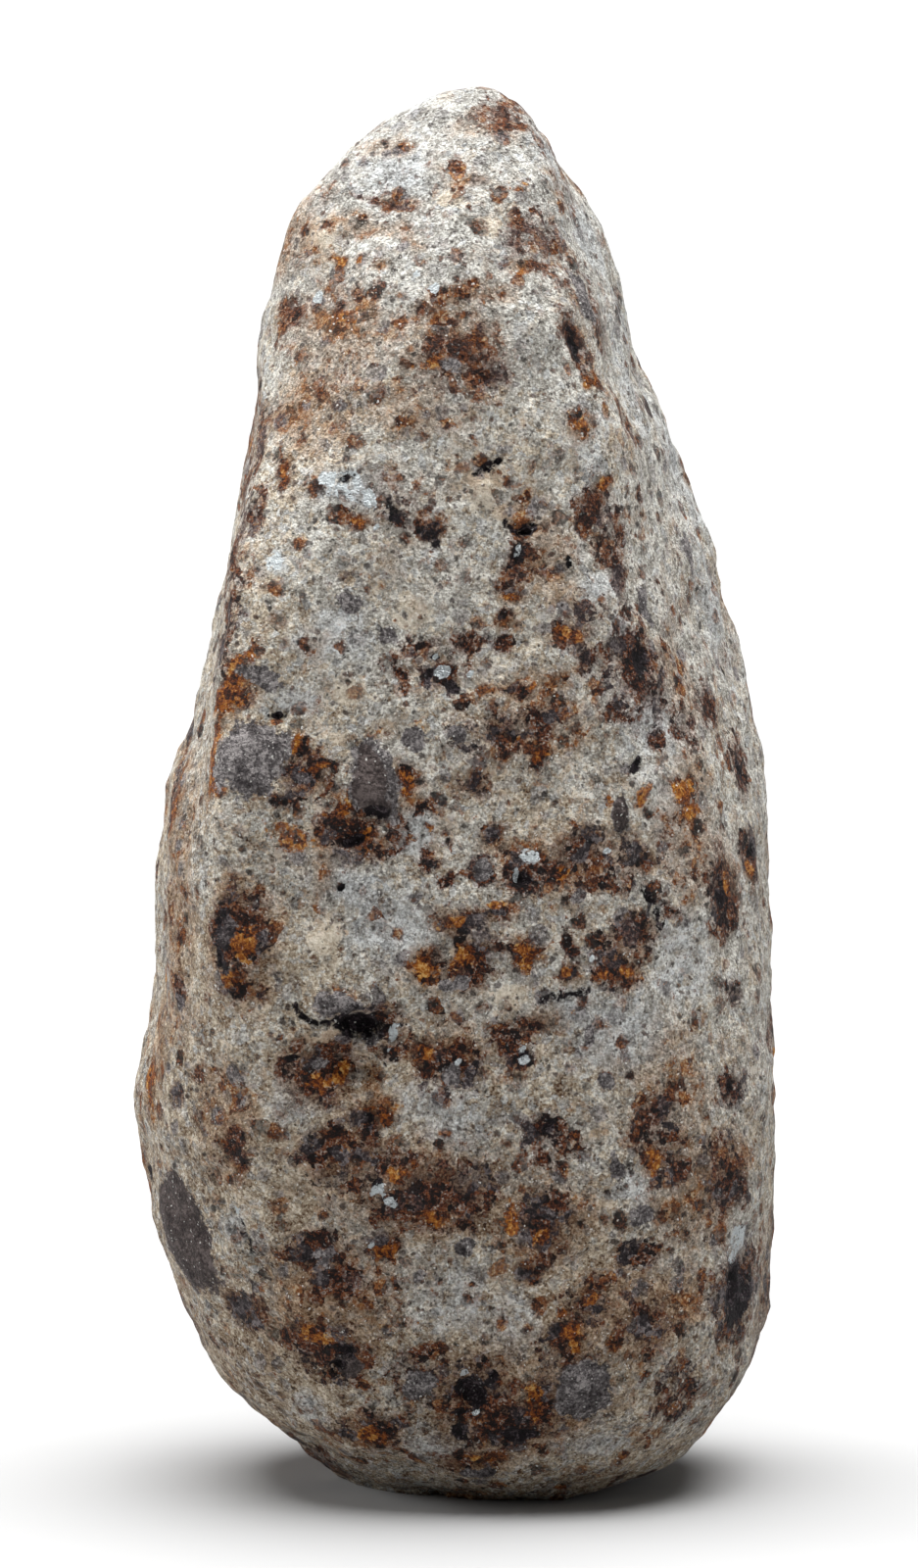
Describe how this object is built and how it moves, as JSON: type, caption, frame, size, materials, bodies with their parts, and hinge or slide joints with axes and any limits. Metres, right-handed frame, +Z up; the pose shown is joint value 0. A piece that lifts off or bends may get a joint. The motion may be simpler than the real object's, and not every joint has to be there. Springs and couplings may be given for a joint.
{
  "type": "chondrite meteorite",
  "caption": "Small upright stony meteorite: a worn, tapering fragment with rusty iron grains and dark inclusions, resting on a small flat spot.",
  "frame": {"origin": "on the resting plane, under the middle of the stone's bounding box", "axes": "+Z up along the stone's length, towards its narrow crown; +X to the right and -Y towards the viewer of the broad front face, which has the deep pit"},
  "size_m": [0.0138, 0.0114, 0.0298],
  "materials": {
    "chondrite_stone": "matte grey-beige stone with fine grain, rust-brown and near-black spots, pale blue-grey patches and a few bright metal flecks"
  },
  "bodies": {
    "root": {"meteorite": "chondrite_stone"}
  },
  "joints": []
}
